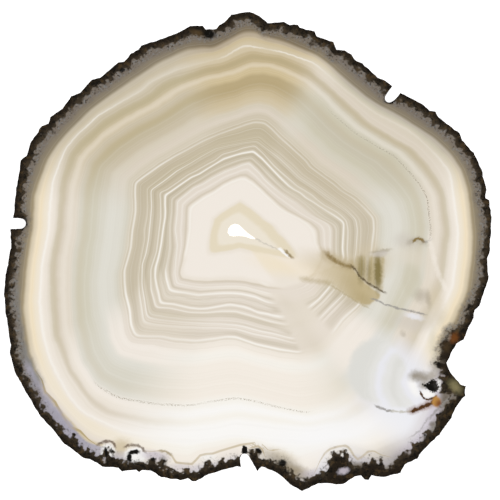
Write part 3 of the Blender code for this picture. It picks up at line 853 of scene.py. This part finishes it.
class Finish:
    # One material and the ways to add to its nodes
    def __init__(self, name):
        self.material = bpy.data.materials.new(name)
        self.material.use_nodes = True
        self.tree = self.material.node_tree
        self.tree.nodes.clear()

    def add(self, kind, settings=(), sockets=(), out=0):
        # A node of this kind: its settings first, then its sockets' values or links
        node = self.tree.nodes.new(kind)
        for key, value in dict(settings).items():
            if key == "stops":
                ramp = node.color_ramp
                while len(ramp.elements) < len(value):
                    ramp.elements.new(1)
                for element, (at, colour) in zip(ramp.elements, value):
                    element.position, element.color = at, colour
            elif key == "blend":
                node.color_ramp.interpolation = value
            else:
                setattr(node, key, value)
        for key, value in dict(sockets).items():
            if isinstance(value, Value):
                self.tree.links.new(value.socket, node.inputs[key])
            else:
                node.inputs[key].default_value = value
        return Value(self, node.outputs[out]) if node.outputs else None

    def surface(self, sockets):
        # The surface's shader with these sockets, and the output
        shader = self.add("ShaderNodeBsdfPrincipled", sockets=sockets)
        self.add("ShaderNodeOutputMaterial", sockets={"Surface": shader})

    def math(self, operation, *values):
        return self.add("ShaderNodeMath", {"operation": operation}, dict(enumerate(values)))

    def vector(self, operation, *values, out=0):
        return self.add("ShaderNodeVectorMath", {"operation": operation}, dict(enumerate(values)), out)

    def mix(self, mask, below, above):
        # One colour over another: below where the mask is 0 and above where it is 1
        return self.add("ShaderNodeMix", {"data_type": "RGBA"}, {0: mask, 6: below, 7: above}, 2)

    def smooth(self, value, start, end):
        # 0 at start, 1 at end, and 3t^2 - 2t^3 between them; start may be the larger
        return self.add("ShaderNodeMapRange", {"interpolation_type": "SMOOTHSTEP"},
                        {"Value": value, "From Min": start, "From Max": end})

    def peak(self, value, at, halfWidth):
        # 1 at one value, falling to 0 at half a width from it
        return self.smooth(abs(value - at), halfWidth, 0)

    def most(self, *values):
        # The largest of the values at each point
        best = values[0]
        for value in values[1:]:
            best = self.math("MAXIMUM", best, value)
        return best

    def noise(self, where, scale, detail=2.0, roughness=0.5, out=0):
        # Smooth noise about 0.5
        sockets = {"Vector": where, "Scale": scale, "Detail": detail, "Roughness": roughness}
        return self.add("ShaderNodeTexNoise", sockets=sockets, out=out)

    def run(self, along, stops):
        # A long run of tones, as two ramps that meet at the middle stop
        k = len(stops) // 2
        halves = []
        for part in (stops[:k + 1], stops[k:]):
            toned = [(at / runLength, tone(name)) for at, name in part]
            halves.append(self.add("ShaderNodeValToRGB", {"stops": toned, "blend": "EASE"}, {0: along}))
        return self.mix(self.math("GREATER_THAN", along, stops[k][0] / runLength), *halves)

    def attribute(self, name):
        # One of the mesh's own values
        return self.add("ShaderNodeAttribute", {"attribute_name": name}, out=2)

    def growth(self, along, scale):
        # Random bands along one measure
        return self.add("ShaderNodeTexNoise", {"noise_dimensions": "1D"},
                        {"W": along, "Scale": scale, "Detail": 3, "Roughness": 0.7})

    def stroke(self, where, corners, halfWidth, soft):
        # A line through the corners: an ellipse on each side of it, a little longer than the side
        ends = [place(*corner) for corner in corners]
        blobs = []
        for (x, y), (u, v), way in zip(corners, corners[1:], np.diff(ends)):
            reach = abs(way) * strokeShares[0] + halfWidth * strokeShares[1]
            blobs.append(self.blob(where, (x + u) / 2, (y + v) / 2, reach, halfWidth,
                                   math.degrees(math.atan2(way.imag, way.real)), soft))
        return self.most(*blobs)

    def blob(self, where, x, y, halfWidth, halfHeight, turn, soft):
        # 1 inside an ellipse, falling to 0 over its edge. A mirror line at half its turn t lays it level, since
        # that takes each place z to e^(it) times z's conjugate
        angle = math.radians(turn)
        centre = cmath.exp(1j * angle) * place(x, y).conjugate()
        laid = self.vector("REFLECT", where, (-math.sin(angle / 2), math.cos(angle / 2), 0))
        away = self.vector("MULTIPLY_ADD", laid, (1 / halfWidth, 1 / halfHeight, 0),
                           (-centre.real / halfWidth, -centre.imag / halfHeight, 0))
        return self.smooth(self.vector("LENGTH", away, out=1), 1 + soft, 1 - soft)

    def lay(self, where, colour, marks):
        # Each mark laid over the colour in turn
        for x, y, halfWidth, halfHeight, turn, soft, strength, name in marks:
            mark = self.blob(where, x, y, halfWidth, halfHeight, turn, soft)
            colour = self.mix(mark * strength, colour, tone(name))
        return colour


def agateFinish():
    f = Finish("polished_agate")
    bare = f.add("ShaderNodeTexCoord", out=3)
    size = 1 / grid["square"]
    where = f.vector("MULTIPLY_ADD", bare, (size, size, size), (originPlace.real, originPlace.imag, 0))
    flat = f.vector("MULTIPLY", where, (1, 1, 0))
    ripple = f.vector("SUBTRACT", f.noise(flat, 0.3, 2, 0.6, 1), (0.5, 0.5, 0.5))
    rippled = f.vector("MULTIPLY_ADD", ripple, (polish["rippleReach"], polish["rippleReach"], 0), flat)
    level, shine, rind = f.attribute("level"), f.attribute("shine"), f.attribute("rind")
    direction = f.vector("NORMALIZE", flat)

    def inSector(middle, half, blend):
        # 1 in the sector, falling to 0 over the blend to each side
        aim = (math.cos(math.radians(middle)), math.sin(math.radians(middle)), 0)
        facing = f.vector("DOT_PRODUCT", direction, aim, out=1)
        return f.smooth(facing, math.cos(math.radians(half + blend)), math.cos(math.radians(half - blend)))

    # The base tones: one run for each side of the stone, chosen by direction. The runs for the pale bottom and the
    # bluish lower right hold pale bands lightened with painted backlight glow
    wander = f.noise(flat, 0.08, 2, 0.5) - 0.5
    along = (level + wander * 2) / runLength
    runColour = {name: f.run(along, run) for name, run in runs.items()}
    colour = runColour["flank"]
    for name, sector in sectors.items():
        colour = f.mix(inSector(*sector), colour, runColour[name])

    # Faint growth lines between the main ones, outside the pale middle
    growth = f.growth(level + wander * 1.5, 0.5)
    broad = f.growth(level + wander * 3, 0.12)
    banded = f.smooth(level, 48, 56) * (1 - f.smooth(level, 108, 122) * 0.75) * (1 - inSector(*sides["plain"]) * 0.95)
    colour = f.mix(f.smooth(growth, 0.5, 0.72) * banded * polish["growthPale"], colour, tone("bright"))
    colour = f.mix(f.smooth(growth, 0.5, 0.28) * banded * polish["growthDark"], colour, tone("shadow"))
    colour = f.mix(f.smooth(broad, 0.5, 0.3) * banded * polish["broadDark"], colour, tone("shadow"))

    # Broad bands inside the bright edge and a pale one outside it, strongest where the stone is warm
    warm = 1 - inSector(*sides["cool"])
    for at, halfWidth, strength, name in warmBands:
        colour = f.mix(f.peak(level + wander * 3, at, halfWidth) * warm * strength, colour, tone(name))
    colour = f.mix(f.peak(level, 200, 5) * warm * 0.25, colour, tone("shell"))

    # The fine lines, light and dark by turns
    ramps = {}
    for name, stops in fineLines.items():
        greys = [(at / runLength, (bright, bright, bright, 1)) for at, bright in stops]
        ramps[name] = f.add("ShaderNodeValToRGB", {"stops": greys}, {0: level / runLength})
    mixed = f.mix(inSector(*sides["footLines"]), ramps["round"], ramps["foot"])
    fine = f.add("ShaderNodeSeparateColor", sockets={0: mixed})
    colour = f.mix(f.smooth(fine, 0.5, 1) * shine * polish["finePale"], colour, tone("bright"))
    colour = f.mix(f.smooth(fine, 0.5, 0) * shine * polish["fineDark"], colour, tone("shadow"))
    edge = f.peak(level + (f.noise(flat, 0.2, 2, 0.5) - 0.5) * 2.5, bands["brightEdge"][0], 1.9)
    colour = f.mix(edge * shine * polish["brightEdge"], colour, tone("chalk"))
    dots = f.peak(level, bands["dotted"][0], 1.7) * f.smooth(f.noise(flat, 0.9, 1, 0.5), 0.5, 0.58)
    colour = f.mix(dots * shine * polish["dots"], colour, tone("drab"))

    # Rings round the bead, in the clear part below the long crack
    teeth = f.noise(flat, 0.2, 4, 0.7)
    middle = place(*eyeMiddle)
    ring = f.vector("DISTANCE", flat, (middle.real, middle.imag, 0), out=1)
    rings = f.growth(ring + wander * 8, 0.08)
    eye = f.smooth(f.attribute("eye") + (teeth - 0.5) * 6, -2, 5)
    eyeColour = f.run((ring + wander * 7) / runLength, eyeRings)
    eyeColour = f.mix(f.smooth(rings, 0.5, 0.75) * 0.2, eyeColour, tone("chalk"))
    colour = f.mix(eye * polish["eye"], colour, eyeColour)

    # Soft zones, stains and cracks
    colour = f.lay(rippled, colour, zones)
    lobe = f.smooth(f.attribute("lobe") + (teeth - 0.5) * 2, -0.8, 2.2)
    eastward = f.smooth(f.vector("DOT_PRODUCT", flat, (1, 0, 0), out=1), *[place(x, 0).real for x in lobeFade])
    lobeColour = f.lay(rippled, tone("lobe"), lobeShades)
    colour = f.mix(lobe * (0.12 + eastward * 0.76), colour, lobeColour)
    stripes = f.noise(f.vector("MULTIPLY", flat, (0.2, 0.0125, 0)), 1, 2, 0.6)
    stain = f.smooth(f.attribute("stain") + (teeth - 0.5) * 5, -2.5, 3)
    stainColour = f.mix(f.smooth(stripes, 0.35, 0.65), tone("stainPale"), tone("straw"))
    colour = f.mix(stain * polish["stain"], colour, stainColour)
    darkStripe = f.most(f.blob(rippled, 377.8, 272, 3.6, 18, 0, 0.6),
                        f.blob(rippled, 361, 270, 3.5, 12, 0, 0.7) * 0.7,
                        f.blob(rippled, 381, 251, 9, 1.6, 9, 0.7) * 0.5,
                        f.blob(rippled, 369, 273, 2.5, 12, 0, 0.7) * 0.5)
    colour = f.mix(darkStripe * polish["stripes"], colour, tone("stain"))
    colour = f.mix(f.smooth(f.attribute("cap"), -2, 1.5) * polish["cap"], colour, tone("mauve"))
    vein = f.smooth(abs(f.attribute("veinAcross")), 2, 0.5) * f.attribute("veinSure") * polish["vein"]
    colour = f.mix(vein, colour, tone("ochre"))
    for name, halfWidth, soft, strength, corners in strokes:
        colour = f.mix(f.stroke(rippled, corners, halfWidth, soft) * strength, colour, tone(name))
    bead = f.smooth(f.attribute("bead") + (f.noise(flat, 0.55, 3, 0.6) - 0.5) * 8, -0.8, 0.9)
    colour = f.mix(bead, colour, tone("soot"))
    amber = f.smooth(f.attribute("amber"), -1, 2)
    colour = f.mix(amber, colour, f.mix(f.blob(flat, 440, 404, 4, 4, 0, 0.8), tone("amber"), tone("rust")))

    # The rough skin: dark at the rim and browner inwards, with dark grains, and a dim margin inside it
    grain = f.noise(where, 0.4, 2, 0.5)
    lumps = f.noise(flat, 0.17, 1, 0.4)
    skinEdge = rind + (lumps - 0.5) * 15 + (grain - 0.5) * 5
    skin = f.smooth(skinEdge, -1.6, 1.6)
    clumps = f.noise(where, 0.16, 3, 0.6)
    skinColour = f.mix(f.smooth(rind + (grain - 0.5) * 12, 7, 0) * 0.9, tone("bark"), tone("barkPale"))
    skinColour = f.mix(f.smooth(clumps, 0.54, 0.66) * 0.5, skinColour, tone("fleck"))
    skinColour = f.mix(f.smooth(grain + clumps, 1.03, 0.8) * 0.9, skinColour, tone("soot"))
    pale = inSector(*sides["pale"])
    margin = f.smooth(rind + (lumps - 0.5) * 8 + (grain - 0.5) * 4, -9, -1) * (1 - pale * 0.9) * polish["margin"]
    colour = f.mix(margin, colour, f.mix(f.smooth(grain, 0.5, 0.65), tone("dusk"), tone("slateDark")))
    specks = f.smooth(f.noise(flat, 0.45, 2, 0.5), 0.56, 0.64) * f.smooth(rind, -8, -1)
    colour = f.mix(specks * (1 - pale * 0.6) * polish["specks"], colour, tone("bark"))
    colour = f.mix(skin, colour, skinColour)
    colour = f.lay(rippled, colour, grains)

    # The skin is rough and dull, and the polish leaves the dark grains dull too
    coarse = f.smooth(skinEdge, -1, 5) * f.noise(where, 0.9, 4, 0.7)
    bump = f.add("ShaderNodeBump", sockets={
        "Strength": polish["bumpStrength"], "Distance": polish["bumpDepth"], "Height": coarse})
    coat = f.smooth(skinEdge, 0, -2) * f.smooth(colour, 0.02, 0.15)
    f.surface({"Base Color": colour, "Roughness": polish["roughness"] + skin * polish["skinRoughness"],
               "IOR": polish["ior"], "Specular IOR Level": polish["gloss"], "Coat Weight": coat,
               "Coat Roughness": polish["coatRoughness"], "Coat IOR": polish["ior"], "Normal": bump})
    return f.material


slabMesh.materials.append(agateFinish())
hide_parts("agate_slice")
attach(slabPiece, "root")
print("finish: ready")

studio = {
    "floorSize": 3.0,
    "floorTone": (250, 250, 250),
    "floorPale": (248, 248, 248),  # the tone it fades to in patches
    "floorGlow": 0.8,
    "floorHeight": -0.0002,
    "skyStrength": 0.3,
    "lampTurns": (45, 135, 225, 315),
    "lampHeight": 1.2,
    "lampOffset": 0.55,
    "lampSize": 0.35,
    "lampPower": 3.3,
    "frameWidth": 0.155,  # what the picture takes in at the upper face
    "pictureMiddle": (250, 250),  # its middle on the grid
    "cameraDistance": 1.6,
    "cameraClip": (0.01, 20),
    "sensor": 36,  # millimetres, as Blender counts it
}


def floorFinish():
    f = Finish("pale_floor")
    shade = f.noise(f.add("ShaderNodeTexCoord", out=3), 3, 2, 0.5)
    colour = f.mix(f.smooth(shade, 0.3, 0.7), linear(*studio["floorPale"]), linear(*studio["floorTone"]))
    f.surface({"Base Color": colour, "Roughness": 0.6, "Emission Color": (1, 1, 1, 1),
               "Emission Strength": studio["floorGlow"]})
    return f.material


half = studio["floorSize"] / 2
floorCorners = [(x * half, y * half, studio["floorHeight"]) for x, y in ((-1, -1), (1, -1), (1, 1), (-1, 1))]
floorMesh = bpy.data.meshes.new("floor")
floorMesh.from_pydata(floorCorners, [], [(0, 1, 2, 3)])
floorMesh.materials.append(floorFinish())
floor = bpy.data.objects.new("floor", floorMesh)
bpy.context.scene.collection.objects.link(floor)

tilt = math.atan2(studio["lampOffset"], studio["lampHeight"])
for i, degrees in enumerate(studio["lampTurns"]):
    turn = math.radians(degrees)
    lamp = bpy.data.lights.new("lamp_" + str(i), "AREA")
    lamp.size = studio["lampSize"]
    lamp.energy = studio["lampPower"]
    holder = bpy.data.objects.new("lamp_" + str(i), lamp)
    x, y = studio["lampOffset"] * math.cos(turn), studio["lampOffset"] * math.sin(turn)
    holder.location = (x, y, studio["lampHeight"])
    holder.rotation_euler = (0, tilt, turn)
    bpy.context.scene.collection.objects.link(holder)

world = bpy.data.worlds.new("sky")
world.use_nodes = True
sky = world.node_tree.nodes["Background"]
sky.inputs["Color"].default_value = (1, 1, 1, 1)
sky.inputs["Strength"].default_value = studio["skyStrength"]
bpy.context.scene.world = world
bpy.context.scene.view_settings.view_transform = "Standard"

lens = bpy.data.cameras.new("camera")
lens.sensor_width = studio["sensor"]
lens.lens = lens.sensor_width * studio["cameraDistance"] / studio["frameWidth"]
lens.clip_start, lens.clip_end = studio["cameraClip"]
camera = bpy.data.objects.new("camera", lens)
middle = toMetres(np.array(place(*studio["pictureMiddle"])))
camera.location = (middle[0], middle[1], top + studio["cameraDistance"])
bpy.context.scene.collection.objects.link(camera)
bpy.context.scene.camera = camera
print("stage: ready")
